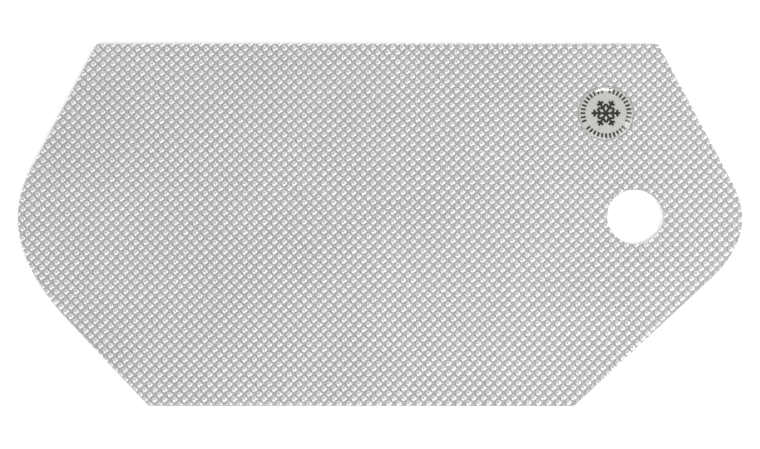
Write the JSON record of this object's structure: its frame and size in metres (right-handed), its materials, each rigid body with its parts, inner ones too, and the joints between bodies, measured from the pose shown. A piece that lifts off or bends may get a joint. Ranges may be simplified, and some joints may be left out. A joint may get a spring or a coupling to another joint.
{
  "type": "snowboard stomp pad",
  "caption": "Clear studded grip sheet with long pointed ends, a punched round hole and a small domed badge, on a peel-off liner.",
  "frame": {"origin": "middle of the sheet's plan box, on the underside of the release liner", "axes": "+X along the long way between the two pointed ends, +Y towards the longer straight edge, +Z out of the gripping face"},
  "size_m": [0.2198, 0.1114, 0.0026],
  "materials": {
    "liner_paper": "light grey silicone-coated paper, smooth and slightly waxy",
    "clear_adhesive": "clear, soft and tacky",
    "clear_vinyl": "clear moulded soft plastic, glossy",
    "silver_film": "silver-grey polyester film, satin",
    "black_ink": "screen-printed black",
    "clear_resin": "clear polyurethane resin, high gloss"
  },
  "bodies": {
    "liner": {"release_liner": "liner_paper"},
    "pad": {"pad_adhesive": "clear_adhesive", "grip_sheet": "clear_vinyl", "badge_adhesive": "clear_adhesive", "badge_film": "silver_film", "badge_print": "black_ink", "badge_lens": "clear_resin"}
  },
  "joints": [
    {"name": "liner_peel", "type": "hinge", "parent": "liner", "child": "pad", "pos_m": [-0.10992, 0.0012, 0.00015], "axis": [0, -1, 0], "range_deg": [0, 70]}
  ]
}
